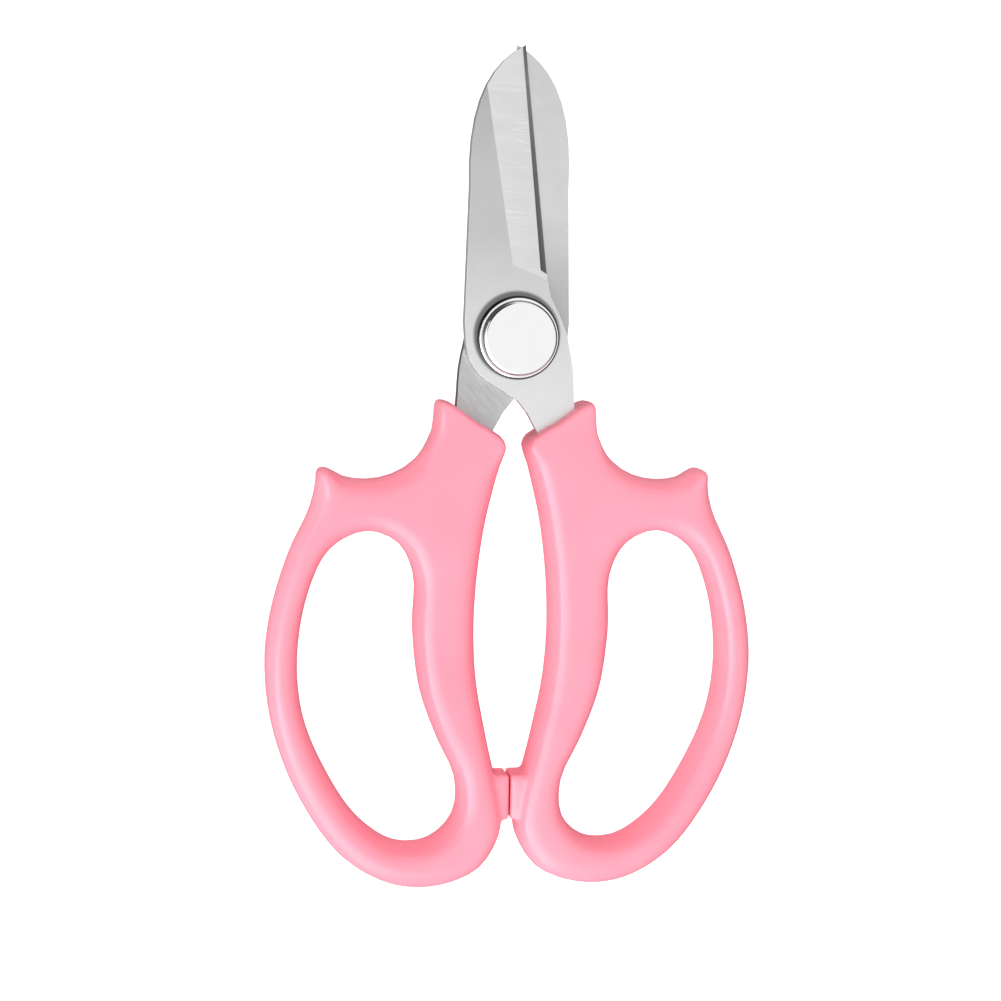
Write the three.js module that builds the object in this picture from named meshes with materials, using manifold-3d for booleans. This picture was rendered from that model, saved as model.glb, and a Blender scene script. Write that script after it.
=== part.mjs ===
// Floral snips lying flat, blades towards +Y, the bolt's polished head up (+Z). Millimetres.
// Two halves cross at one pivot bolt. Each half is a ground steel blade whose tang sits in a moulded
// handle. The back half is the same design turned over.
import * as THREE from 'three';
import { mergeVertices } from 'three/addons/utils/BufferGeometryUtils.js';
import Module from 'manifold-3d';

const wasm = await Module();
wasm.setup();

// ---- driving dimensions ----
const bladeReach = 56.9; // pivot to tip
const bladeHalfWidth = 10.7; // pivot axis to the spine, level with the pivot
const bladeThickness = 2.6;
const tipOffset = 0.8; // how far each tip stands past the centre line
const edgeOverlap = 5.9; // how far each cutting edge stands past the centre line at its heel
const heelReach = 12.4; // pivot to the heel of the cutting edge
const edgeLand = 0.2; // thickness left at the cutting edge
const mainBevelSlope = 0.2; // drop of the wide ground face per millimetre
const edgeBevelSlope = 0.93; // drop of the narrow cutting bevel per millimetre

const neckWidth = 7.6; // the blade where it enters the handle
const tangWidth = 6.6;
const tangDepth = 46; // pivot to the tang's end
const anchorRadius = 1.7; // holes in the tang that the plastic flows through
const tangClearance = 0.3; // between the steel and the moulding, all round

const loopReach = 110.1; // pivot to the far end of a handle's loop
const loopSpan = 49; // centre line to the outside of a loop
const handleThickness = 12;
const sideBand = 1.5; // half height of the straight band round a handle's side
const edgeRounding = 3.2; // how far the rounded edge reaches in from the outline
const collarRounding = 0.6; // the same at the collar, where the steel comes out
const stopGap = 0.3; // between the two stop lugs when the snips are shut
const stopReach = 92; // pivot to the middle of a stop lug
const stopLength = 9.1;
const stopWidth = 4.5; // from the gap into the handle
const stopThickness = 8;

const boltRadius = 3;
const boltClearance = 0.2; // radial, wherever something turns on the bolt or slips over it
const boltInset = 0.2; // bolt's end inside the nut's outer face
const keyStep = 1; // how far the bolt's keyed neck stands out past its shank
const keyFlatStep = 0.2; // the same at the neck's two flats
const keyClearance = 0.15;
const headRadius = 8.2;
const headHeight = 3;
const headRounding = 1.1;
const washerGap = 0.4; // thickness of the washer between the blades
const washerRadius = 7;
const backWasherRadius = 6.2;
const backWasherThickness = 0.5;
const springRadius = 5.4;
const springThickness = 0.3;
const springCone = 0.2; // dish of the spring washer
const springPlay = 0.05; // between the spring washer's rims and its neighbours
const nutAcrossFlats = 10;

// ---- materials ----
const steel = (roughness) => new THREE.MeshStandardMaterial({ color: '#c4c5c6', roughness, metalness: 1 });
const groundSteel = steel(0.38);
const platedSteel = steel(0.2);
const polishedSteel = new THREE.MeshStandardMaterial({ color: '#ececee', roughness: 0.06, metalness: 1 });
const springSteel = new THREE.MeshStandardMaterial({ color: '#8d8f92', roughness: 0.4, metalness: 1 });
const acetal = new THREE.MeshStandardMaterial({ color: '#e9e7e0', roughness: 0.5, metalness: 0 });
const pinkPlastic = new THREE.MeshStandardMaterial({ color: '#fba4b8', roughness: 0.3, metalness: 0 });

// ---- helpers ----
const roundSides = 48;

function solid(geometry) {
  const bare = geometry.clone();
  bare.deleteAttribute('normal');
  bare.deleteAttribute('uv');
  const merged = mergeVertices(bare, 1e-4);
  const vertProperties = new Float32Array(merged.attributes.position.array);
  const triVerts = new Uint32Array(merged.index.array);
  return new wasm.Manifold(new wasm.Mesh({ numProp: 3, vertProperties, triVerts }));
}

function piece(name, shape, material) {
  const mesh = shape.getMesh();
  const geometry = new THREE.BufferGeometry();
  geometry.setAttribute('position', new THREE.BufferAttribute(mesh.vertProperties, 3));
  geometry.setIndex(new THREE.BufferAttribute(mesh.triVerts, 1));
  geometry.computeVertexNormals();
  const made = new THREE.Mesh(geometry, material);
  made.name = name;
  return made;
}

// A flat plate of a shape, from height low to height high.
function plate(shape, low, high) {
  const options = { depth: high - low, bevelEnabled: false, curveSegments: 12 };
  return solid(new THREE.ExtrudeGeometry(shape, options).translate(0, 0, low));
}

// A solid turned round the Z axis from a closed profile of [radius, height] points.
function turned(profile) {
  const points = [...profile, profile[0]].map(([radius, height]) => new THREE.Vector2(radius, height));
  return solid(new THREE.LatheGeometry(points, roundSides).rotateX(Math.PI / 2));
}

const ring = (inner, outer, low, high) => turned([[inner, low], [outer, low], [outer, high], [inner, high]]);

// Everything on the high side of a plane through two points, which drops by slope per millimetre to
// the right of the line from the first point to the second.
function aboveSlope(from, to, slope) {
  const big = 200;
  const along = new THREE.Vector3().subVectors(to, from).normalize();
  const across = new THREE.Vector3(along.y, -along.x, 0).normalize();
  const downhill = across.addScaledVector(new THREE.Vector3(0, 0, 1), -slope).normalize();
  const up = new THREE.Vector3().crossVectors(downhill, along).normalize();
  const box = new THREE.BoxGeometry(big, big, big).translate(0, 0, big / 2);
  const place = new THREE.Matrix4().makeBasis(downhill, along, up).setPosition(from);
  return solid(box.applyMatrix4(place));
}

// Points about a step apart along a smooth closed curve through the given points.
function smoothLoop(points, step) {
  const knots = points.map(({ x, y }) => new THREE.Vector3(x, y, 0));
  const curve = new THREE.CatmullRomCurve3(knots, true, 'centripetal');
  return knots.flatMap((knot, i) => {
    const next = knots[(i + 1) % knots.length];
    const parts = Math.max(2, Math.round(knot.distanceTo(next) / step));
    return Array.from({ length: parts }, (_, j) => {
      const at = curve.getPoint((i + j / parts) / knots.length);
      return new THREE.Vector2(at.x, at.y);
    });
  });
}

// The unit normal at each point of a closed loop, to the left of its direction.
function leftNormals(loop) {
  return loop.map((point, i) => {
    const before = loop[(i + loop.length - 1) % loop.length];
    const after = loop[(i + 1) % loop.length];
    const into = new THREE.Vector2().subVectors(point, before).normalize();
    const out = new THREE.Vector2().subVectors(after, point).normalize();
    const along = into.add(out).normalize();
    return new THREE.Vector2(-along.y, along.x);
  });
}

// The loop moved to its right by a distance: outwards, for a loop that runs anticlockwise.
function grown(loop, distance) {
  const normals = leftNormals(loop);
  return loop.map((point, i) => point.clone().addScaledVector(normals[i], -distance));
}

// How much the handles' drawn shape is stretched to reach the driving sizes.
const outlineX = loopSpan / 49;
const outlineY = loopReach / 110.1;

// ---- blade ----
// Drawn for the front half: its cutting edge leans to +X, and its tang goes down to the right.
const bladeBottom = washerGap / 2;
const bladeTop = bladeBottom + bladeThickness;
const tip = new THREE.Vector3(tipOffset, bladeReach, bladeBottom + edgeLand);
const heel = new THREE.Vector3(edgeOverlap, heelReach, bladeBottom + edgeLand);
const hipRadius = bladeHalfWidth - 0.25; // round the pivot, under the spine
const neckTop = new THREE.Vector2(7.9 * outlineX, -16 * outlineY); // middle of the neck, at the collar
const tangEnd = new THREE.Vector2(13.2 * outlineX, tangWidth / 2 - tangDepth); // centre of its round end
const anchorAlong = [0.36, 0.74]; // places of the anchor holes, from neckTop to tangEnd

function bladeOutline() {
  const down = new THREE.Vector2().subVectors(tangEnd, neckTop).normalize();
  const right = new THREE.Vector2(-down.y, down.x);
  const side = (along, offset) => {
    const at = new THREE.Vector2().lerpVectors(neckTop, tangEnd, along).addScaledVector(right, offset);
    return [at.x, at.y];
  };
  const [tipPull, spinePull, spineStart, spineMiddle, spineFoot] = [
    [-0.63, 0.933], [-1, 0.792], [-0.935, 0.509], [-0.968, 0.28], [-1, 0.05],
  ].map(([across, along]) => new THREE.Vector2(across * bladeHalfWidth, along * bladeReach));
  const point = new THREE.Vector2(tip.x, tip.y);
  const tipCurve = new THREE.CubicBezierCurve(point, tipPull, spinePull, spineStart);
  const spine = [...tipCurve.getPoints(9), spineMiddle, spineFoot].map(({ x, y }) => [x, y]);
  const hip = [185, 195, 205, 215, 225, 235, 245].map((degrees) => {
    const turn = THREE.MathUtils.degToRad(degrees);
    return [hipRadius * Math.cos(turn), hipRadius * Math.sin(turn)];
  });
  const tangArc = [-60, -30, 0, 30, 60].map((degrees) => {
    const turn = THREE.MathUtils.degToRad(degrees);
    const offset = down.clone().rotateAround(new THREE.Vector2(), turn).multiplyScalar(tangWidth / 2);
    return [tangEnd.x + offset.x, tangEnd.y + offset.y];
  });
  const outline = [
    ...spine, ...hip, [-2.1, -hipRadius - 0.5], [0, -hipRadius - 1.7], [2.2, -hipRadius - 4.4],
    side(0.1, -neckWidth / 2), side(0.3, -tangWidth / 2), side(1, -tangWidth / 2), ...tangArc,
    side(1, tangWidth / 2), side(0.3, tangWidth / 2), side(0.02, neckWidth / 2),
    [bladeHalfWidth + 0.7, -11.5], [bladeHalfWidth + 0.6, -9], [bladeHalfWidth + 0.4, -6.2],
    [bladeHalfWidth, -3.8], [bladeHalfWidth - 0.5, -1.5], [bladeHalfWidth - 0.9, 0.8],
    [bladeHalfWidth - 2.7, 5], [edgeOverlap + 0.5, 8], [edgeOverlap, heelReach - 2.3],
    [heel.x, heel.y],
  ];
  return outline.map(([x, y]) => new THREE.Vector2(x, y));
}

// The blade's blank, or with growth the room that it needs: wider all round, and its holes smaller.
function bladeBlank(growth, pivotHole) {
  const shape = new THREE.Shape(grown(bladeOutline(), growth));
  shape.holes.push(pivotHole);
  for (const along of anchorAlong) {
    const at = new THREE.Vector2().lerpVectors(neckTop, tangEnd, along);
    shape.holes.push(new THREE.Path().absarc(at.x, at.y, anchorRadius - growth, 0, 2 * Math.PI));
  }
  return plate(shape, bladeBottom - growth, bladeTop + growth);
}

// The grinding room past a line from [x, y] on the left to [x, y] at the cutting edge.
function pastLine(left, right) {
  const far = [[3 * bladeHalfWidth, right[1]], [3 * bladeHalfWidth, 2 * bladeReach]];
  const back = [[-3 * bladeHalfWidth, 2 * bladeReach], [-3 * bladeHalfWidth, left[1]]];
  const corners = [left, right, ...far, ...back].map(([x, y]) => new THREE.Vector2(x, y));
  return plate(new THREE.Shape(corners), 0, 2 * bladeTop);
}

function blade(pivotHole) {
  const bevelStart = new THREE.Vector3(-0.13 * bladeHalfWidth, heelReach + 1.9, bladeTop);
  const bevelEnd = new THREE.Vector3(-0.64 * bladeHalfWidth, 0.83 * bladeReach, bladeTop);
  const mainRoom = pastLine([bevelStart.x, bevelStart.y], [edgeOverlap, heelReach - 1.4]);
  const edgeRoom = pastLine([edgeOverlap - 2, heelReach + 1.2], [edgeOverlap, heelReach]);
  const mainBevel = aboveSlope(bevelStart, bevelEnd, mainBevelSlope).intersect(mainRoom);
  const edgeBevel = aboveSlope(heel, tip, edgeBevelSlope).intersect(edgeRoom);
  return bladeBlank(0, pivotHole).subtract(mainBevel).subtract(edgeBevel);
}

// A hole or neck with two flats, grown by a clearance.
function keyedRound(Kind, growth) {
  const radius = boltRadius + keyStep + growth;
  const flat = boltRadius + keyFlatStep + growth;
  const turn = Math.acos(flat / radius);
  const path = new Kind();
  path.absarc(0, 0, radius, turn, Math.PI - turn);
  path.absarc(0, 0, radius, Math.PI + turn, 2 * Math.PI - turn);
  path.closePath();
  return path;
}

const roundHole = (radius) => new THREE.Path().absarc(0, 0, radius, 0, 2 * Math.PI);

// ---- handle ----
// The outline and the finger hole of the front half's handle.
const loopStep = 2.6; // spacing of the points along an outline

const handleOutline = [
  [2.1, -21.6], [3.1, -19.4], [8.2, -16.3], [13.3, -12.8], [15.1, -12.5], [15.7, -13.9], // collar
  [16.1, -18.6], [19.6, -24.2], [24.3, -27.2], [29.5, -28.2], [34, -27.6], // finger rest
  [37.6, -25.8], [39.1, -26.6], [39.3, -28.8], // horn
  [40.5, -34], [44.5, -42.8], [48.1, -55.3], [49, -66], [47.1, -79], [41.9, -92], [33.2, -104],
  [23.4, -109.6], [13.8, -110], [5.8, -106.6], [1.8, -100], // far end of the loop
  [1.4, -95.5], [4.7, -80.3], [7.1, -67.6], [7.6, -54], [6, -38], [3.1, -25.5], // palm side
].map(([x, y]) => [x * outlineX, y * outlineY]);

const handleHole = [
  [29.3, -38.3], [36.5, -41.8], [40.6, -50.1], [42.7, -62.8], [41.6, -74.6], [37, -86], [30.2, -96.2],
  [22.6, -101.3], [15.9, -101], [11.1, -96.3], [10.7, -88.6], [14.4, -80.5], [18.1, -70.3],
  [19.7, -57.8], [19.7, -47.2], [22.8, -40.9],
].map(([x, y]) => [x * outlineX, y * outlineY]);

// How far the rounded edge may reach in from each point: the wanted rounding, but never past four
// fifths of the way to the middle of the material, and changing gently from point to point.
function insets(loop, normals, everyPoint, wanted) {
  const slopeLimit = 0.5;
  const found = loop.map((point, i) => {
    const room = everyPoint.map((other) => {
      const across = new THREE.Vector2().subVectors(other, point);
      const inwards = across.dot(normals[i]);
      return inwards > 1e-6 ? across.lengthSq() / (2 * inwards) : Infinity;
    });
    return Math.min(wanted(point), 0.8 * Math.min(...room));
  });
  for (let pass = 0; pass < 2 * loop.length; pass += 1) {
    const i = pass % loop.length;
    const next = (i + 1) % loop.length;
    const rise = slopeLimit * loop[i].distanceTo(loop[next]);
    found[next] = Math.min(found[next], found[i] + rise);
    const back = loop.length - 1 - i;
    const previous = (back + loop.length - 1) % loop.length;
    const fall = slopeLimit * loop[back].distanceTo(loop[previous]);
    found[previous] = Math.min(found[previous], found[back] + fall);
  }
  return found;
}

// A flat body with a hole and with its edges rounded to an ellipse, centred on height 0.
function roundedBody(outer, hole, wantedRounding) {
  const roundingSteps = 3;
  const half = handleThickness / 2;
  const everyPoint = [...outer, ...hole];
  const levels = [];
  for (let step = roundingSteps; step >= -roundingSteps; step -= 1) {
    const turn = (Math.abs(step) / roundingSteps) * (Math.PI / 2);
    const height = sideBand + (half - sideBand) * Math.sin(turn);
    const share = 1 - Math.cos(turn);
    if (step === 0) levels.push({ height: -sideBand, share: 0 }, { height: sideBand, share: 0 });
    else levels.push({ height: step > 0 ? -height : height, share });
  }
  const positions = [];
  const faces = [];
  const rims = [outer, hole].map((loop) => {
    const normals = leftNormals(loop);
    const reach = insets(loop, normals, everyPoint, wantedRounding);
    const start = positions.length / 3;
    const rings = levels.map(({ height, share }) => loop.map((point, i) => {
      const at = point.clone().addScaledVector(normals[i], share * reach[i]);
      positions.push(at.x, at.y, height);
      return at;
    }));
    for (let level = 0; level + 1 < levels.length; level += 1) {
      loop.forEach((_, i) => {
        const low = start + level * loop.length;
        const high = low + loop.length;
        const next = (i + 1) % loop.length;
        faces.push(low + i, low + next, high + next, low + i, high + next, high + i);
      });
    }
    return { start, count: loop.length, bottom: rings[0], top: rings[rings.length - 1] };
  });
  const [outerRim, holeRim] = rims;
  const lastLevel = levels.length - 1;
  for (const [level, side] of [[0, 'bottom'], [lastLevel, 'top']]) {
    const number = (index) => (index < outerRim.count
      ? outerRim.start + level * outerRim.count + index
      : holeRim.start + level * holeRim.count + index - outerRim.count);
    for (const face of THREE.ShapeUtils.triangulateShape(outerRim[side], [holeRim[side]])) {
      const [a, b, c] = face.map(number);
      faces.push(...(side === 'top' ? [a, b, c] : [a, c, b]));
    }
  }
  const geometry = new THREE.BufferGeometry();
  geometry.setAttribute('position', new THREE.Float32BufferAttribute(positions, 3));
  geometry.setIndex(faces);
  return solid(geometry);
}

function handle() {
  const smooth = (points) => smoothLoop(points.map(([x, y]) => new THREE.Vector2(x, y)), loopStep);
  const anticlockwise = (loop) => (THREE.ShapeUtils.isClockWise(loop) ? [...loop].reverse() : loop);
  const outer = anticlockwise(smooth(handleOutline));
  const hole = anticlockwise(smooth(handleHole)).reverse();
  const collar = { right: neckTop.x + 2 * neckWidth, bottom: neckTop.y - 0.75 * neckWidth };
  const atCollar = ({ x, y }) => x < collar.right && y > collar.bottom;
  const body = roundedBody(outer, hole, (point) => (atCollar(point) ? collarRounding : edgeRounding));
  const stop = new THREE.BoxGeometry(stopWidth, stopLength, stopThickness);
  stop.translate((stopGap + stopWidth) / 2, -stopReach, 0);
  const room = bladeBlank(tangClearance, roundHole(boltRadius));
  return body.add(solid(stop)).subtract(room);
}

// ---- pivot ----
const nutTop = -(bladeTop + backWasherThickness + springThickness + springCone + 2 * springPlay);
const nutBottom = -handleThickness / 2;

function bolt() {
  const top = bladeTop + headHeight;
  const rim = [0, 22.5, 45, 67.5, 90].map((degrees) => {
    const turn = THREE.MathUtils.degToRad(degrees);
    const inwards = headRadius - headRounding * (1 - Math.cos(turn));
    return [inwards, top - headRounding * (1 - Math.sin(turn))];
  });
  const end = nutBottom + boltInset;
  const chamfer = 0.4;
  const shank = turned([
    [0, end], [boltRadius - chamfer, end], [boltRadius, end + chamfer], [boltRadius, bladeTop], [0, bladeTop],
  ]);
  const head = turned([[0, bladeTop], [headRadius, bladeTop], ...rim, [0, top]]);
  const neck = plate(keyedRound(THREE.Shape, 0), bladeBottom, bladeTop + headHeight / 2);
  return head.add(shank).add(neck);
}

function nut() {
  const corner = nutAcrossFlats / Math.sqrt(3);
  const corners = [0, 60, 120, 180, 240, 300].map((degrees) => {
    const turn = THREE.MathUtils.degToRad(degrees);
    return new THREE.Vector2(corner * Math.cos(turn), corner * Math.sin(turn));
  });
  const shape = new THREE.Shape(corners);
  shape.holes.push(roundHole(boltRadius + boltClearance));
  return plate(shape, nutBottom, nutTop);
}

function springWasher() {
  const inner = boltRadius + boltClearance;
  const low = nutTop + springPlay;
  return turned([
    [inner, low], [springRadius, low + springCone], [springRadius, low + springCone + springThickness],
    [inner, low + springThickness],
  ]);
}

// ---- assembly ----
const overBolt = boltRadius + boltClearance;
const bladeWasher = ring(overBolt, washerRadius, -bladeBottom, bladeBottom);
const backWasher = ring(overBolt, backWasherRadius, -bladeTop - backWasherThickness, -bladeTop);

const frontHalf = new THREE.Group();
frontHalf.add(
  piece('front_blade', blade(keyedRound(THREE.Path, keyClearance)), groundSteel),
  piece('right_handle', handle(), pinkPlastic),
  piece('pivot_bolt', bolt(), polishedSteel),
  piece('blade_washer', bladeWasher, acetal),
  piece('back_washer', backWasher, platedSteel),
  piece('spring_washer', springWasher(), springSteel),
  piece('pivot_nut', nut(), platedSteel),
);

const backHalf = new THREE.Group();
backHalf.add(
  piece('back_blade', blade(roundHole(overBolt)), groundSteel),
  piece('left_handle', handle(), pinkPlastic),
);
backHalf.rotation.y = Math.PI;

// The origin is under the middle of the snips, on the surface that they lie on.
const snips = new THREE.Group();
snips.add(frontHalf, backHalf);
const bounds = new THREE.Box3().setFromObject(snips);
const middle = bounds.getCenter(new THREE.Vector3());
snips.position.set(-middle.x, -middle.y, -bounds.min.z);

export default snips;
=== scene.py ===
"""Floral snips: ground steel blades on a polished pivot bolt, with moulded pink loop handles.

They lie flat and shut on a white table, with the blades towards +Y, and are seen from above, a
little from the left and from the blades' end.
"""

import math

import bpy
from mathutils import Matrix, Vector


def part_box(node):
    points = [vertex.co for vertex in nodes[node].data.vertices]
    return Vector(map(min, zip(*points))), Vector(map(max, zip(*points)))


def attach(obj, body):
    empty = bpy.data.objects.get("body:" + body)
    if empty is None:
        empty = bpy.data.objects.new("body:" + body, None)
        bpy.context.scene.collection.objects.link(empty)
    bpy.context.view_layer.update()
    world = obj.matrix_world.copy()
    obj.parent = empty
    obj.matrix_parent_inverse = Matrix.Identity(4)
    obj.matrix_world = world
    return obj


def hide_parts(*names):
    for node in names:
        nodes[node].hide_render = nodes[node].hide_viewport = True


MM = 0.001

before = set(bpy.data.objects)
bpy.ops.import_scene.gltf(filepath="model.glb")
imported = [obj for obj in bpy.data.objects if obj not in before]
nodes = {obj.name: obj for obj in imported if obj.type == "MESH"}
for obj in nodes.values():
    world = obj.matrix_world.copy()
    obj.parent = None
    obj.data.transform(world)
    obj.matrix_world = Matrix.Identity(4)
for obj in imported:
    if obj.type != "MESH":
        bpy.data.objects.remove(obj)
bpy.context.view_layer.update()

# ---- sizes shared by the pieces, in metres ----
HALF_HANDLE = 6 * MM  # from the handles' backs to their moulding line, where the blades meet too
bolt_low, bolt_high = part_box("pivot_bolt")
PIVOT = (bolt_low + bolt_high) / 2
PIVOT.z = HALF_HANDLE
TIP = 57 * MM  # about where the blades' tips are, above the pivot
HEEL = 10 * MM  # where the blades' bevels start, above the pivot
BOLT_RADIUS = 3 * MM
SLIP = 0.2 * MM  # clearance of everything that slips over the bolt
HEAD_HEIGHT = 3 * MM
MERGE = 0.002 * MM  # points that lie nearer than this are one point
NEAR = 0.001 * MM  # heights that differ by less than this are the same
EASED_ANGLE = math.radians(28)  # edges sharper than this are eased


# ---- helpers ----
def linear(code):
    """A colour for a shader from its sRGB hex code."""
    levels = [int(code[i:i + 2], 16) / 255 for i in (1, 3, 5)]
    return [v / 12.92 if v <= 0.04045 else ((v + 0.055) / 1.055) ** 2.4 for v in levels] + [1]


def add_node(tree, kind, inputs, **settings):
    """Adds a node with its settings. Each input takes a value or another node's output."""
    made = tree.nodes.new(kind)
    for name, value in settings.items():
        setattr(made, name, value)
    for socket, value in inputs.items():
        if isinstance(value, bpy.types.NodeSocket):
            tree.links.new(value, made.inputs[socket])
        else:
            made.inputs[socket].default_value = value
    return made


def new_material(name, **surface):
    """A material with one Principled shader, and its node tree and shader to add to."""
    material = bpy.data.materials.new(name)
    material.use_nodes = True
    shader = material.node_tree.nodes["Principled BSDF"]
    for socket, value in surface.items():
        shader.inputs[socket.replace("_", " ")].default_value = value
    return material, material.node_tree, shader


def pick(piece, test, kind="FACE"):
    """In edit mode, selects only what passes the test.

    The test takes a face's middle and normal, an edge's two ends, or a vertex's place.
    """
    bpy.ops.mesh.select_mode(type=kind)
    bpy.ops.mesh.select_all(action="DESELECT")
    bpy.ops.object.mode_set(mode="OBJECT")
    mesh = piece.data
    if kind == "FACE":
        for face in mesh.polygons:
            face.select = test(face.center, face.normal)
    elif kind == "EDGE":
        for edge in mesh.edges:
            a, b = (mesh.vertices[i].co for i in edge.vertices)
            edge.select = test(a, b)
    else:
        for vertex in mesh.vertices:
            vertex.select = test(vertex.co)
    bpy.ops.object.mode_set(mode="EDIT")


def only(piece):
    """Makes this the one selected and active object."""
    bpy.ops.object.select_all(action="DESELECT")
    bpy.context.view_layer.objects.active = piece
    piece.select_set(True)


def apply_modifier(piece, kind, **settings):
    """Adds a modifier with its settings to a piece and applies it."""
    only(piece)
    modifier = piece.modifiers.new(kind.title(), kind)
    for name, value in settings.items():
        setattr(modifier, name, value)
    bpy.ops.object.modifier_apply(modifier=modifier.name)


def copy_of(node, name):
    """A merged copy of a CAD node's mesh, in edit mode, in the frame's own place."""
    piece = bpy.data.objects.new(name, nodes[node].data.copy())
    bpy.context.scene.collection.objects.link(piece)
    piece.data.materials.clear()
    only(piece)
    bpy.ops.object.mode_set(mode="EDIT")
    bpy.ops.mesh.select_all(action="SELECT")
    bpy.ops.mesh.remove_doubles(threshold=MERGE)
    return piece


def settle(piece, name, node, body):
    """Names a finished piece, applies its place, and puts it on its body for its CAD node."""
    only(piece)
    piece.name = name
    bpy.ops.object.transform_apply(location=True, rotation=True, scale=True)
    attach(piece, body)
    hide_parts(node)


# ---- materials ----
def moulded_pink():
    # Handles: glossy injection-moulded ABS. The gloss softens to broad highlights on the crests,
    # with a very fine orange peel, slight colour drift and the raised line where the mould's halves
    # met.
    material, tree, shader = new_material(
        "glossy moulded pink ABS", IOR=1.5, Subsurface_Weight=0.1, Subsurface_Scale=1.5 * MM,
        Subsurface_Radius=(1, 0.4, 0.4),
    )
    place = add_node(tree, "ShaderNodeTexCoord", {}).outputs["Object"]
    drift = add_node(tree, "ShaderNodeTexNoise", {
        "Vector": place, "Scale": 1 / (22 * MM), "Detail": 2,
    })
    tint = add_node(tree, "ShaderNodeValToRGB", {"Fac": drift.outputs["Fac"]})
    tint.color_ramp.elements[0].position = 0.3
    tint.color_ramp.elements[0].color = linear("#f98b9c")
    tint.color_ramp.elements[1].position = 0.7
    tint.color_ramp.elements[1].color = linear("#fa94a5")
    tree.links.new(tint.outputs["Color"], shader.inputs["Base Color"])
    peel = add_node(tree, "ShaderNodeTexNoise", {
        "Vector": place, "Scale": 1 / (0.9 * MM), "Detail": 3,
    })
    gloss = add_node(tree, "ShaderNodeMapRange", {
        "Value": peel.outputs["Fac"], "To Min": 0.2, "To Max": 0.28,
    })
    tree.links.new(gloss.outputs["Result"], shader.inputs["Roughness"])
    height = add_node(tree, "ShaderNodeSeparateXYZ", {"Vector": place}).outputs["Z"]
    above = add_node(tree, "ShaderNodeMath", {0: height, 1: HALF_HANDLE}, operation="SUBTRACT")
    away = add_node(tree, "ShaderNodeMath", {0: above.outputs[0]}, operation="ABSOLUTE")
    # The moulding line stands up about 0.2 mm wide, with soft sides.
    seam = add_node(tree, "ShaderNodeMapRange", {
        "Value": away.outputs[0], "From Min": 0.16 * MM, "From Max": 0.06 * MM,
    }, interpolation_type="SMOOTHSTEP")
    line = add_node(tree, "ShaderNodeBump", {
        "Height": seam.outputs["Result"], "Distance": 0.06 * MM, "Strength": 0.7,
    })
    skin = add_node(tree, "ShaderNodeBump", {
        "Height": peel.outputs["Fac"], "Distance": 0.008 * MM, "Normal": line.outputs["Normal"],
    })
    tree.links.new(skin.outputs["Normal"], shader.inputs["Normal"])
    return material


def scratch_light(tree, place, strength):
    """Lightens a few long stray lines that a coarse grain of the wheel left across the blade."""
    long_lines = add_node(tree, "ShaderNodeMapping", {
        "Vector": place, "Scale": (1 / (60 * MM), 1 / (5 * MM), 0),
    })
    stray = add_node(tree, "ShaderNodeTexNoise", {
        "Vector": long_lines.outputs[0], "Scale": 1, "Detail": 2,
    })
    # A line runs wherever the noise crosses its middle value.
    off = add_node(tree, "ShaderNodeMath", {0: stray.outputs["Fac"], 1: 0.5}, operation="SUBTRACT")
    away = add_node(tree, "ShaderNodeMath", {0: off.outputs[0]}, operation="ABSOLUTE")
    line = add_node(tree, "ShaderNodeMapRange", {
        "Value": away.outputs[0], "From Min": 0.01, "From Max": 0.002, "To Max": strength,
    })
    return line.outputs["Result"]


def belt_marks(tree, place, height, light, strength):
    """Adds coarse slanting marks of the belt to the light, from a little below the pivot down."""
    slanting = add_node(tree, "ShaderNodeMapping", {
        "Vector": place, "Rotation": (0, 0, math.radians(-52)),
        "Scale": (4 * MM, 0.26 * MM, 0.26 * MM),  # length and spacing of the marks
    }, vector_type="TEXTURE")
    belt = add_node(tree, "ShaderNodeTexNoise", {
        "Vector": slanting.outputs[0], "Scale": 1, "Detail": 2,
    })
    swing = add_node(tree, "ShaderNodeMapRange", {
        "Value": belt.outputs["Fac"], "From Min": 0.3, "From Max": 0.7, "To Min": -1,
    })
    below = add_node(tree, "ShaderNodeMapRange", {
        "Value": height, "From Min": PIVOT.y - 2 * MM, "From Max": PIVOT.y - 7 * MM,
        "To Max": strength,
    })
    marked = add_node(tree, "ShaderNodeMath", {
        0: swing.outputs["Result"], 1: below.outputs["Result"], 2: light,
    }, operation="MULTIPLY_ADD")
    return marked.outputs[0]


def painted_bolt_shadow(tree, place, shadow_depth):
    """1 away from the bolt head, and less, by the given depth, in a painted shadow ring round it.
    """
    centre = PIVOT + Vector((-0.3, 0.55, 0)) * MM  # the painted shadow is set a little off the pivot, towards the upper left
    centred = add_node(tree, "ShaderNodeVectorMath", {0: place, 1: centre}, operation="SUBTRACT")
    round_bolt = add_node(tree, "ShaderNodeVectorMath", {
        0: centred.outputs[0], 1: (1, 1, 0),
    }, operation="MULTIPLY")
    reach = add_node(tree, "ShaderNodeVectorMath", {0: round_bolt.outputs[0]}, operation="LENGTH")
    shade_ring = add_node(tree, "ShaderNodeMapRange", {
        "Value": reach.outputs["Value"], "From Min": 8.25 * MM, "From Max": 9 * MM,
        "To Min": 1 - shadow_depth, "To Max": 1,
    }, interpolation_type="SMOOTHSTEP")
    return shade_ring.outputs["Result"]


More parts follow.
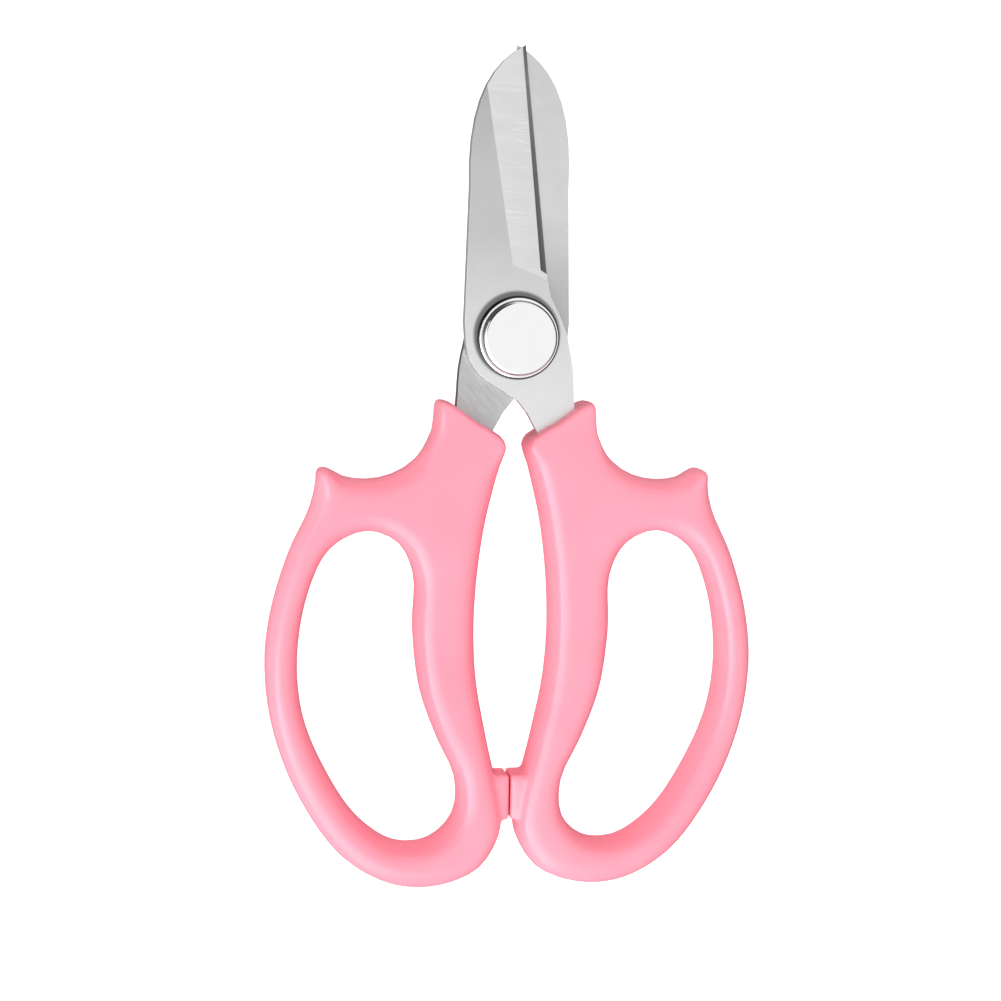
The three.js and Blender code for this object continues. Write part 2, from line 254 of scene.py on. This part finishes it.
def ground_steel(
    name, tones, along, across, depth, gloss, streaks, shadow_depth=0, scratches=0, neck_marks=0,
):
    """Stainless steel ground in straight lines.

    A real belt or wheel leaves marks about 0.1 mm apart. They are drawn coarser, so that they show.

    tones: steel's colour by height up the blade, with painted sheen and shade in it, as (metres
    from the pivot, hex), low to high.
    along, across: spacing of the marks up the blade and their length across it, in metres.
    depth: depth of the marks in metres. gloss: lowest and highest roughness.
    streaks: how much the marks lighten or darken the steel.
    shadow_depth: how much the painted shadow round the bolt head darkens it.
    scratches: how much a few stray marks of the wheel lighten it.
    neck_marks: how much coarse slanting belt marks below the pivot lighten or darken it.
    """
    material, tree, shader = new_material(name, Metallic=1)
    place = add_node(tree, "ShaderNodeTexCoord", {}).outputs["Object"]
    height = add_node(tree, "ShaderNodeSeparateXYZ", {"Vector": place}).outputs["Y"]
    low, high = tones[0][0], tones[-1][0]
    share = add_node(tree, "ShaderNodeMapRange", {
        "Value": height, "From Min": PIVOT.y + low, "From Max": PIVOT.y + high,
    })
    # This ramp paints sheen and shade into the steel's colour, up the blade.
    shade = add_node(tree, "ShaderNodeValToRGB", {"Fac": share.outputs["Result"]})
    ramp = shade.color_ramp
    while len(ramp.elements) < len(tones):
        ramp.elements.new(0.5)
    for stop, (at, code) in zip(ramp.elements, tones):
        stop.position = (at - low) / (high - low)
        stop.color = linear(code)
    # Fine marks, and bands of them seven times as wide. Their sum stays near 1.
    lines = add_node(tree, "ShaderNodeMapping", {
        "Vector": place, "Scale": (1 / across, 1 / along, 1 / along),
    })
    fine = add_node(tree, "ShaderNodeTexNoise", {
        "Vector": lines.outputs[0], "Scale": 1, "Detail": 3,
    })
    wide = add_node(tree, "ShaderNodeTexNoise", {
        "Vector": lines.outputs[0], "Scale": 0.14, "Detail": 2,
    })
    mixed = add_node(tree, "ShaderNodeMath", {
        0: fine.outputs["Fac"], 1: wide.outputs["Fac"],
    }, operation="ADD")
    light = add_node(tree, "ShaderNodeMapRange", {
        "Value": mixed.outputs[0], "From Min": 0.6, "From Max": 1.4,
        "To Min": 1 - streaks, "To Max": 1 + streaks,
    })
    lit = add_node(tree, "ShaderNodeMath", {
        0: light.outputs["Result"], 1: scratch_light(tree, place, scratches),
    }, operation="ADD")
    tinted = add_node(tree, "ShaderNodeVectorMath", {
        0: shade.outputs["Color"], 1: belt_marks(tree, place, height, lit.outputs[0], neck_marks),
    }, operation="MULTIPLY")
    # The painted shadow round the bolt head darkens the colour here.
    shadowed = add_node(tree, "ShaderNodeVectorMath", {
        0: tinted.outputs[0], 1: painted_bolt_shadow(tree, place, shadow_depth),
    }, operation="MULTIPLY")
    tree.links.new(shadowed.outputs[0], shader.inputs["Base Color"])
    rough = add_node(tree, "ShaderNodeMapRange", {
        "Value": fine.outputs["Fac"], "From Min": 0.25, "From Max": 0.75,
        "To Min": gloss[0], "To Max": gloss[1],
    })
    tree.links.new(rough.outputs["Result"], shader.inputs["Roughness"])
    marks = add_node(tree, "ShaderNodeBump", {"Height": fine.outputs["Fac"], "Distance": depth})
    tree.links.new(marks.outputs["Normal"], shader.inputs["Normal"])
    return material


def turned_metal(name, shade, gloss, rings, depth):
    """A metal turned or plated on a round piece, with faint rings about the pivot.

    shade: its colour, as hex. gloss: lowest and highest roughness.
    rings: about three times the spacing of the rings, in metres. depth: their depth in metres.
    """
    material, tree, shader = new_material(name, Metallic=1)
    place = add_node(tree, "ShaderNodeTexCoord", {}).outputs["Object"]
    centred = add_node(tree, "ShaderNodeMapping", {"Vector": place, "Location": tuple(-PIVOT)})
    turning = add_node(tree, "ShaderNodeTexWave", {
        "Vector": centred.outputs[0], "Scale": 1 / rings, "Distortion": 1.5, "Detail": 2,
    }, wave_type="RINGS", rings_direction="Z")
    cloud = add_node(tree, "ShaderNodeTexNoise", {
        "Vector": centred.outputs[0], "Scale": 1 / (1.6 * MM),
    })
    rough = add_node(tree, "ShaderNodeMapRange", {
        "Value": cloud.outputs["Fac"], "From Min": 0.3, "From Max": 0.7,
        "To Min": gloss[0], "To Max": gloss[1],
    })
    tone = add_node(tree, "ShaderNodeMapRange", {
        "Value": cloud.outputs["Fac"], "To Min": 0.97, "To Max": 1.02,
    })
    tinted = add_node(tree, "ShaderNodeVectorMath", {
        0: linear(shade)[:3], 1: tone.outputs["Result"],
    }, operation="MULTIPLY")
    tree.links.new(tinted.outputs[0], shader.inputs["Base Color"])
    tree.links.new(rough.outputs["Result"], shader.inputs["Roughness"])
    marks = add_node(tree, "ShaderNodeBump", {
        "Height": turning.outputs["Fac"], "Distance": depth,
    })
    tree.links.new(marks.outputs["Normal"], shader.inputs["Normal"])
    return material


def white_acetal():
    # Washer between the blades: stamped acetal sheet. Matt white with a dull grain.
    material, tree, shader = new_material("stamped white acetal", IOR=1.48)
    place = add_node(tree, "ShaderNodeTexCoord", {}).outputs["Object"]
    grain = add_node(tree, "ShaderNodeTexNoise", {
        "Vector": place, "Scale": 1 / (0.4 * MM), "Detail": 3,
    })
    tint = add_node(tree, "ShaderNodeValToRGB", {"Fac": grain.outputs["Fac"]})
    tint.color_ramp.elements[0].color = linear("#e2e0d8")
    tint.color_ramp.elements[1].color = linear("#ecebe5")
    tree.links.new(tint.outputs["Color"], shader.inputs["Base Color"])
    rough = add_node(tree, "ShaderNodeMapRange", {
        "Value": grain.outputs["Fac"], "To Min": 0.42, "To Max": 0.58,
    })
    tree.links.new(rough.outputs["Result"], shader.inputs["Roughness"])
    bumps = add_node(tree, "ShaderNodeBump", {
        "Height": grain.outputs["Fac"], "Distance": 0.01 * MM,
    })
    tree.links.new(bumps.outputs["Normal"], shader.inputs["Normal"])
    return material


pink_plastic = moulded_pink()
acetal = white_acetal()

# Flat of the front blade and its neck: stainless steel, satin-ground and then wiped. An even grey
# with a painted sheen that falls off towards the tip, and a painted shadow round the bolt head.
front_flat = ground_steel(
    "satin-ground stainless, front", [
        (-20 * MM, "#e0e0e1"), (-6 * MM, "#dbdbdc"), (10 * MM, "#d0d0d1"),
        (20 * MM, "#c3c3c4"), (34 * MM, "#c2c2c3"), (TIP, "#aaaaab"),
    ],
    along=0.5 * MM, across=0.5 * MM, depth=0.002 * MM, gloss=(0.3, 0.36), streaks=0.02, shadow_depth=0.72,
)
# Flat of the back blade and its neck: the same grind, painted darker by the pivot as shade under
# the front blade and head, and painted lighter up the blade as sheen, with coarse slanting belt
# marks on the neck.
back_flat = ground_steel(
    "satin-ground stainless, back", [
        (-20 * MM, "#c1c1c2"), (-3 * MM, "#b6b6b7"), (9 * MM, "#b9b9ba"),
        (24 * MM, "#d2d2d3"), (TIP, "#cececf"),
    ],
    along=0.5 * MM, across=0.5 * MM, depth=0.003 * MM, gloss=(0.3, 0.38), streaks=0.045,
    neck_marks=0.09,
)
# Main bevel: the wheel ran across the blade and left short crosswise marks and a few stray ones.
cross_ground = ground_steel(
    "cross-ground stainless bevel", [(0, "#e1e1e2"), (TIP, "#e0e0e1")],
    along=0.5 * MM, across=9 * MM, depth=0.004 * MM, gloss=(0.28, 0.36), streaks=0.05,
    scratches=0.07,
)
# Cutting bevel: honed fine. Its colour is painted darker than the ground faces, as shade where it
# turns away from the light, and painted brighter again at the tip, as sheen.
honed_edge = ground_steel(
    "honed cutting edge",
    [(0, "#c4c4c6"), (14 * MM, "#acacae"), (36 * MM, "#b4b4b6"), (TIP, "#f2f2f4")],
    along=0.3 * MM, across=2 * MM, depth=0.003 * MM, gloss=(0.36, 0.44), streaks=0.05,
)
# Sides of the blades and necks and their eased arrises: the blank as it was sheared and tumbled, a
# rougher grey. The front copy's colour is painted lighter and the back copy's darker, and both
# change up the blade, as painted light and shade.
front_side, back_side = (
    ground_steel(
        f"sheared blank edge, {which}", [(-20 * MM, low), (TIP, high)],
        along=1.2 * MM, across=0.25 * MM, depth=0.01 * MM, gloss=gloss, streaks=0.08,
    )
    for which, low, high, gloss in (
        ("front", "#e2e2e4", "#d2d2d4", (0.56, 0.66)),
        ("back", "#a0a0a2", "#b4b4b6", (0.4, 0.5)),
    )
)
# Bolt head: turned and mirror-polished steel, nearly white where it sees the light.
mirror_steel = turned_metal(
    "mirror-polished steel", "#f8f8f9", (0.09, 0.14), 0.35 * MM, 0.0004 * MM,
)
# The head's walls and chamfer: steel as it left the lathe, with its colour painted dark for the
# shade and dark reflections at the head's rim.
painted_dark_rim = turned_metal("dark turned steel", "#4a4a4c", (0.3, 0.42), 0.25 * MM, 0.003 * MM)
# Nut and back washer: bright zinc plate, slightly cloudy and cool.
zinc_plate = turned_metal("bright zinc plate", "#cfd2d6", (0.22, 0.36), 0.4 * MM, 0.002 * MM)
# Spring washer: bare hardened spring steel, a dark satin grey.
spring_steel = turned_metal("bare spring steel", "#8e8f92", (0.34, 0.46), 0.3 * MM, 0.003 * MM)


# ---- handles ----
POCKET_REACH = 0.6 * MM  # more than the tang's pocket reaches past the moulding line
VOXEL = 0.42 * MM  # how finely the handles are remeshed
# The collar's lower edge: this far below the pivot at the inner corner, and rising outwards.
COLLAR_DROP = 21.5 * MM
COLLAR_CORNER = 2 * MM
COLLAR_RISE = 0.62
# The crown starts this far below the collar, and is full after this much more.
CROWN_START = 1.6 * MM
CROWN_BLEND = 4 * MM


def crown_share(place):
    """How much of the crown the handle has there: 0 at the collar and 1 along the legs."""
    outwards = abs(place.x - PIVOT.x) - COLLAR_CORNER
    collar = PIVOT.y - COLLAR_DROP + COLLAR_RISE * outwards
    return min(1, max(0, (collar - place.y - CROWN_START) / CROWN_BLEND))


def moulded_handle(node, name, body, clear_side):
    """A handle from the half of its CAD solid that its tang leaves whole.

    clear_side: -1 where that is the half below the moulding line, 1 where it is the half above.
    """
    piece = copy_of(node, name)
    # The whole half is cut off clear of the pocket, drawn out to the moulding line and mirrored.
    cut = HALF_HANDLE + clear_side * POCKET_REACH
    bpy.ops.mesh.bisect(
        plane_co=(0, 0, cut), plane_no=(0, 0, 1),
        clear_inner=clear_side > 0, clear_outer=clear_side < 0,
    )
    pick(piece, lambda a, b: abs(a.z - cut) < NEAR and abs(b.z - cut) < NEAR, "EDGE")
    bpy.ops.mesh.extrude_edges_move(TRANSFORM_OT_translate={"value": (0, 0, HALF_HANDLE - cut)})
    bpy.ops.object.mode_set(mode="OBJECT")
    middle = bpy.data.objects.new("moulding line", None)
    middle.location.z = HALF_HANDLE
    bpy.context.scene.collection.objects.link(middle)
    bpy.context.view_layer.update()
    apply_modifier(
        piece, "MIRROR", use_axis=(False, False, True), mirror_object=middle,
        merge_threshold=0.01 * MM,
    )
    bpy.data.objects.remove(middle)
    bpy.ops.object.mode_set(mode="EDIT")
    bpy.ops.mesh.select_all(action="SELECT")
    bpy.ops.mesh.remove_doubles(threshold=MERGE)
    bpy.ops.mesh.normals_make_consistent(inside=False)
    bpy.ops.object.mode_set(mode="OBJECT")
    apply_modifier(piece, "REMESH", mode="VOXEL", voxel_size=VOXEL)
    # The mould's edges are rounded, and its faces are crowned towards the middle of each leg, but
    # not at the collar, where the steel comes out of a flat end.
    apply_modifier(piece, "SMOOTH", factor=0.5, iterations=2)
    crowned = piece.vertex_groups.new(name="crowned")
    for vertex in piece.data.vertices:
        crowned.add([vertex.index], crown_share(vertex.co), "REPLACE")
    apply_modifier(piece, "SMOOTH", factor=0.5, iterations=4, vertex_group="crowned")
    apply_modifier(
        piece, "SMOOTH", factor=0.5, iterations=28, vertex_group="crowned",
        use_x=False, use_y=False,
    )
    bpy.ops.object.shade_smooth()
    piece.data.materials.append(pink_plastic)
    settle(piece, name, node, body)


moulded_handle("right_handle", "right_handle_moulding", "front_half", -1)
moulded_handle("left_handle", "left_handle_moulding", "back_half", 1)


# ---- blades ----
def ground_blade(node, name, body, flat, edge, side):
    """A blade with its arrises eased.

    flat, edge: the materials of its flats and of its sides.
    side: 1 where its bevels face up, -1 where they face down.
    """
    piece = copy_of(node, name)
    bpy.ops.mesh.dissolve_limited(angle_limit=math.radians(0.5))
    bpy.ops.object.mode_set(mode="OBJECT")
    apply_modifier(
        piece, "BEVEL", width=0.035 * MM, segments=2, limit_method="ANGLE",
        angle_limit=EASED_ANGLE,
    )
    only(piece)
    bpy.ops.object.shade_smooth_by_angle(angle=math.radians(12))
    heel = PIVOT.y + HEEL
    # The flats have the first material. The other faces are told apart by how far they face up.
    others = (
        # the sides and the eased arrises
        (edge, lambda at, normal: abs(normal.z) < 0.96
            and not (side * normal.z > 0.5 and at.y > heel)),
        # the main bevel, 6 to 15 degrees off the flat
        (cross_ground, lambda at, normal: 0.965 < side * normal.z < 0.995 and at.y > heel),
        # the cutting bevel, 26 to 60 degrees off the flat
        (honed_edge, lambda at, normal: 0.5 < side * normal.z < 0.9 and at.y > heel),
    )
    piece.data.materials.append(flat)
    for material, _ in others:
        piece.data.materials.append(material)
    bpy.ops.object.mode_set(mode="EDIT")
    for index, (_, test) in enumerate(others, 1):
        pick(piece, test)
        piece.active_material_index = index
        bpy.ops.object.material_slot_assign()
    bpy.ops.object.mode_set(mode="OBJECT")
    settle(piece, name, node, body)


ground_blade("front_blade", "front_blade_ground", "front_half", front_flat, front_side, 1)
ground_blade("back_blade", "back_blade_ground", "back_half", back_flat, back_side, -1)


# ---- bolt, nut and washers ----
def round_bar(radius, low, high, sides=96):
    """A short round bar on the pivot's axis, in edit mode."""
    bpy.ops.object.select_all(action="DESELECT")
    bpy.ops.mesh.primitive_cylinder_add(
        vertices=sides, radius=radius, depth=high - low,
        location=(PIVOT.x, PIVOT.y, (low + high) / 2),
    )
    bpy.ops.object.transform_apply(location=True, rotation=True, scale=True)
    bpy.ops.object.mode_set(mode="EDIT")
    return bpy.context.object


def at_rim(radius, height):
    """A test for the edges of the circle of that radius and height about the pivot."""
    def test(a, b):
        return all(
            abs(point.z - height) < NEAR and abs((point - PIVOT).xy.length - radius) < 10 * NEAR
            for point in (a, b)
        )
    return test


def draw_out(height):
    """Extrudes the selected faces up by the height, or down if it is negative."""
    bpy.ops.mesh.extrude_region_move(TRANSFORM_OT_translate={"value": (0, 0, height)})


def narrow(radius, less):
    """Narrows what is selected, of that radius, by less."""
    share = 1 - less / radius
    bpy.ops.transform.resize(value=(share, share, 1), center_override=tuple(PIVOT))


def finish_round(piece):
    """Shades a turned piece smooth all but at its edges, and leaves edit mode."""
    bpy.ops.object.mode_set(mode="OBJECT")
    only(piece)
    bpy.ops.object.shade_smooth_by_angle(angle=math.radians(35))


def pivot_bolt():
    """The bolt: a low flange with a steep chamfer, a polished face, a neck and a shank."""
    low, high = bolt_low.z, bolt_high.z
    head_radius = (bolt_high.x - bolt_low.x) / 2
    face_radius = head_radius - 0.85 * MM
    under = high - HEAD_HEIGHT
    wall_top = under + 0.35 * MM
    flange_top = wall_top + 0.6 * MM
    chamfer = 0.4 * MM
    under_rounding = 0.15 * MM
    # The flange is drawn up and in to its chamfer, and the face stands out of it.
    piece = round_bar(head_radius, under, wall_top, 128)
    pick(piece, lambda at, normal: normal.z > 0.99)
    draw_out(flange_top - wall_top)
    narrow(head_radius, chamfer)
    bpy.ops.mesh.inset(thickness=head_radius - chamfer - face_radius)
    draw_out(high - flange_top)
    for radius, height, rounding, segments in (
        (face_radius, high, 0.75 * MM, 6),
        (head_radius - chamfer, flange_top, 0.08 * MM, 2),
        (head_radius, under, under_rounding, 2),
    ):
        pick(piece, at_rim(radius, height), "EDGE")
        bpy.ops.mesh.bevel(offset=rounding, segments=segments, affect="EDGES")
    # Under it, the neck and then the shank are drawn down to the chamfered end.
    neck_radius = BOLT_RADIUS + 0.2 * MM
    neck_end = under - 2.4 * MM
    end_chamfer = 0.4 * MM
    pick(piece, lambda at, normal: normal.z < -0.99)
    bpy.ops.mesh.inset(thickness=head_radius - under_rounding - neck_radius)
    draw_out(neck_end - under)
    bpy.ops.mesh.inset(thickness=neck_radius - BOLT_RADIUS)
    draw_out(low + end_chamfer - neck_end)
    draw_out(-end_chamfer)
    narrow(BOLT_RADIUS, end_chamfer)
    finish_round(piece)
    piece.data.materials.append(mirror_steel)
    piece.data.materials.append(painted_dark_rim)
    bpy.ops.object.mode_set(mode="EDIT")
    # The flange's wall and chamfer and the wall under the face are left as turned, in the steel
    # painted dark for the rim's shade.
    pick(piece, lambda at, normal: abs(normal.z) < 0.6 and at.z > under)
    piece.active_material_index = 1
    bpy.ops.object.material_slot_assign()
    bpy.ops.object.mode_set(mode="OBJECT")
    settle(piece, "pivot_bolt_polished", "pivot_bolt", "front_half")


def washer(node, name, material, dish=0):
    """A flat washer, or with a dish one whose rim stands that much higher than its bore."""
    low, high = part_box(node)
    outer = (high.x - low.x) / 2
    inner = BOLT_RADIUS + SLIP
    top = high.z - dish
    piece = round_bar(outer, low.z, top)
    pick(piece, lambda at, normal: abs(normal.z) > 0.99)
    bpy.ops.mesh.inset(thickness=outer - inner)
    bpy.ops.mesh.bridge_edge_loops()
    rounding = 0.22 * (top - low.z)
    for radius in (outer, inner):
        for height in (low.z, top):
            pick(piece, at_rim(radius, height), "EDGE")
            bpy.ops.mesh.bevel(offset=rounding, segments=2, affect="EDGES")
    if dish:
        pick(piece, lambda at: (at - PIVOT).xy.length > (outer + inner) / 2, "VERT")
        bpy.ops.transform.translate(value=(0, 0, dish))
    finish_round(piece)
    piece.data.materials.append(material)
    settle(piece, name, node, "front_half")


def pivot_nut():
    """A hexagon nut: its corners are taken down by a turned chamfer, and its middle is bored."""
    low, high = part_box("pivot_nut")
    corner = (high.x - low.x) / 2
    turned = 0.985 * corner
    chamfer = 0.5 * MM
    piece = round_bar(corner, low.z, high.z, 6)
    bpy.ops.transform.rotate(
        value=math.radians(30), orient_axis="Z", center_override=tuple(PIVOT),
    )
    bpy.ops.object.mode_set(mode="OBJECT")
    turning = round_bar(turned, low.z, high.z)
    for height in (low.z, high.z):
        pick(turning, at_rim(turned, height), "EDGE")
        bpy.ops.mesh.bevel(offset=chamfer, segments=1, affect="EDGES")
    bpy.ops.object.mode_set(mode="OBJECT")
    bore = round_bar(BOLT_RADIUS + SLIP, low.z - MM, high.z + MM)
    bpy.ops.object.mode_set(mode="OBJECT")
    for operation, cutter in (("INTERSECT", turning), ("DIFFERENCE", bore)):
        apply_modifier(piece, "BOOLEAN", operation=operation, object=cutter)
        bpy.data.objects.remove(cutter)
    apply_modifier(
        piece, "BEVEL", width=0.12 * MM, segments=2, limit_method="ANGLE",
        angle_limit=EASED_ANGLE,
    )
    finish_round(piece)
    piece.data.materials.append(zinc_plate)
    settle(piece, "pivot_nut_plated", "pivot_nut", "front_half")


pivot_bolt()
pivot_nut()
washer("blade_washer", "blade_washer_stamped", acetal)
washer("back_washer", "back_washer_plated", zinc_plate)
washer("spring_washer", "spring_washer_dished", spring_steel, dish=0.2 * MM)


# ---- table, light and camera ----
def white_table():
    """A wide table just under the snips."""
    bpy.ops.object.select_all(action="DESELECT")
    bpy.ops.mesh.primitive_plane_add(size=6, location=(0, 0, -0.05 * MM))
    table = bpy.context.object
    table.name = "white_table"
    # Backlit white acrylic: bright enough that the snips leave hardly a shadow on it.
    material, tree, shader = new_material(
        "backlit white acrylic", Roughness=0.6, Emission_Strength=1,
    )
    place = add_node(tree, "ShaderNodeTexCoord", {}).outputs["Object"]
    haze = add_node(tree, "ShaderNodeTexNoise", {"Vector": place, "Scale": 1 / (60 * MM)})
    tint = add_node(tree, "ShaderNodeValToRGB", {"Fac": haze.outputs["Fac"]})
    tint.color_ramp.elements[0].color = linear("#b8b8b8")
    tint.color_ramp.elements[1].color = linear("#bdbdbd")
    tree.links.new(tint.outputs["Color"], shader.inputs["Base Color"])
    shader.inputs["Emission Color"].default_value = (1, 1, 1, 1)
    table.data.materials.append(material)
    table.visible_glossy = False  # so that the steel's sides stay dark against it


def soft_light(name, place, width, depth, power, glints=True):
    """A soft box aimed at the pivot. Without glints it isn't seen in any shiny surface."""
    bpy.ops.object.light_add(type="AREA", location=place)
    light = bpy.context.object
    light.name = name
    light.data.shape = "RECTANGLE"
    light.data.size = width
    light.data.size_y = depth
    light.data.energy = power
    light.visible_glossy = glints
    light.rotation_euler = (PIVOT - Vector(place)).to_track_quat("-Z", "Y").to_euler()


def studio_world():
    """A white tent: bright on the left, dim on the right, even overhead and dark under the table.

    A black flag hangs up on the left, towards the blades.
    """
    world = bpy.data.worlds.new("white tent")
    bpy.context.scene.world = world
    world.use_nodes = True
    tree = world.node_tree
    way = add_node(tree, "ShaderNodeTexCoord", {}).outputs["Generated"]
    up = add_node(tree, "ShaderNodeSeparateXYZ", {"Vector": way}).outputs["Z"]
    side = add_node(tree, "ShaderNodeVectorMath", {
        0: way, 1: (-1, 0.25, 0),
    }, operation="DOT_PRODUCT")
    wall = add_node(tree, "ShaderNodeMapRange", {
        "Value": side.outputs["Value"], "From Min": -0.45, "From Max": 0.7,
        "To Min": 0.1, "To Max": 1.3,
    })
    lift = add_node(tree, "ShaderNodeMapRange", {
        "Value": up, "From Min": 0.05, "From Max": 0.7,
    }, interpolation_type="SMOOTHSTEP")
    tent = add_node(tree, "ShaderNodeMix", {
        "Factor": lift.outputs["Result"], "A": wall.outputs["Result"], "B": 0.97,
    })
    flag = add_node(tree, "ShaderNodeVectorMath", {
        0: way, 1: (-0.6, 0.6, 0.53),
    }, operation="DOT_PRODUCT")
    shade = add_node(tree, "ShaderNodeMapRange", {
        "Value": flag.outputs["Value"], "From Min": 0.72, "From Max": 0.84,
        "To Min": 1, "To Max": 0.04,
    }, interpolation_type="SMOOTHSTEP")
    floor = add_node(tree, "ShaderNodeMapRange", {
        "Value": up, "From Min": -0.03, "From Max": 0.03, "To Min": 0.2, "To Max": 1,
    })
    flagged = add_node(tree, "ShaderNodeMath", {
        0: tent.outputs["Result"], 1: shade.outputs["Result"],
    }, operation="MULTIPLY")
    light = add_node(tree, "ShaderNodeMath", {
        0: flagged.outputs[0], 1: floor.outputs["Result"],
    }, operation="MULTIPLY")
    tree.links.new(light.outputs[0], tree.nodes["Background"].inputs["Color"])


def look_down():
    """The camera: above the handles, tipped a little to the left and towards the blades."""
    distance = 455 * MM
    field = 199.2 * MM  # width seen at that distance
    sensor = 36  # in millimetres
    target = PIVOT + Vector((-2.44, -32.46, 0)) * MM
    bpy.ops.object.camera_add()
    camera = bpy.context.object
    camera.name = "camera"
    turn = (
        Matrix.Rotation(math.radians(-10), 4, "Y")
        @ Matrix.Rotation(math.radians(-6.3), 4, "X")
        @ Matrix.Rotation(math.radians(1.1), 4, "Z")
    )
    camera.matrix_world = Matrix.Translation(target + turn @ Vector((0, 0, distance))) @ turn
    camera.data.sensor_width = sensor
    camera.data.lens = sensor * distance / field
    camera.data.clip_start = 0.01
    bpy.context.scene.camera = camera


white_table()
studio_world()
soft_light("key soft box, lower left", (-0.55, -0.65, 0.85), 1.3, 1.3, 14)
soft_light("strip box, left", (-0.95, -0.1, 0.85), 1.5, 0.22, 4)
soft_light("fill from the blade end", (0.1, 1, 0.45), 0.6, 0.3, 3, glints=False)
look_down()

# Colours as they are: the Standard view, with no tone curve.
view = bpy.context.scene.view_settings
view.view_transform = "Standard"
view.look = "None"
view.exposure = 0
view.gamma = 1
